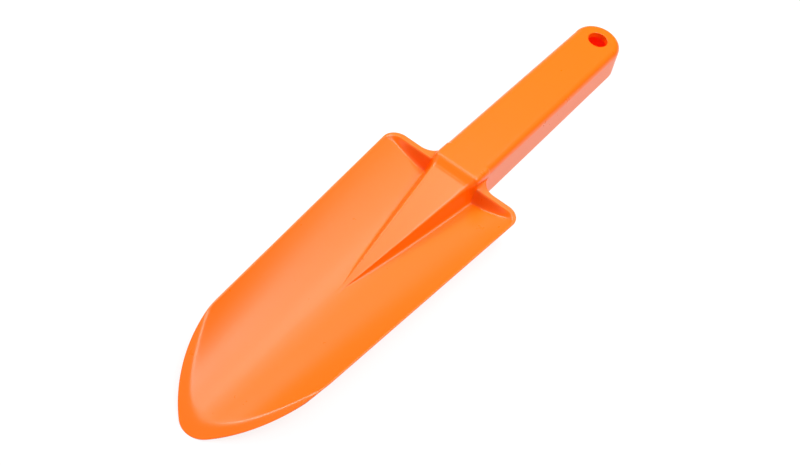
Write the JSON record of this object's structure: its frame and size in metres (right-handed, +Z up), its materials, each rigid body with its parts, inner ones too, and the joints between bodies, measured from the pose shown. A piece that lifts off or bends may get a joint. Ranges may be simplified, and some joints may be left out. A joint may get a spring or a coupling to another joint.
{
  "type": "camp trowel",
  "caption": "One-piece moulded plastic camp trowel: shallow scooped blade with a bevelled nose, hollow wedge at the neck, channel handle with a hanging hole",
  "frame": {"origin": "middle of the overall length, on the mirror plane, on the surface that the trowel lies on", "axes": "+X from the handle to the nose, +Y to the left seen from behind the handle, +Z up out of the scoop"},
  "size_m": [0.28, 0.0618, 0.0167],
  "materials": {
    "blade_orange": "satin, moulded in one colour",
    "wedge_orange": "satin, moulded in one colour",
    "handle_orange": "satin, moulded in one colour",
    "rib_orange": "satin, moulded in one colour, duller in the channel"
  },
  "bodies": {
    "root": {"blade": "blade_orange", "neck_wedge": "wedge_orange", "handle_shell": "handle_orange", "cross_rib_1": "rib_orange", "cross_rib_2": "rib_orange", "cross_rib_3": "rib_orange"}
  },
  "joints": []
}
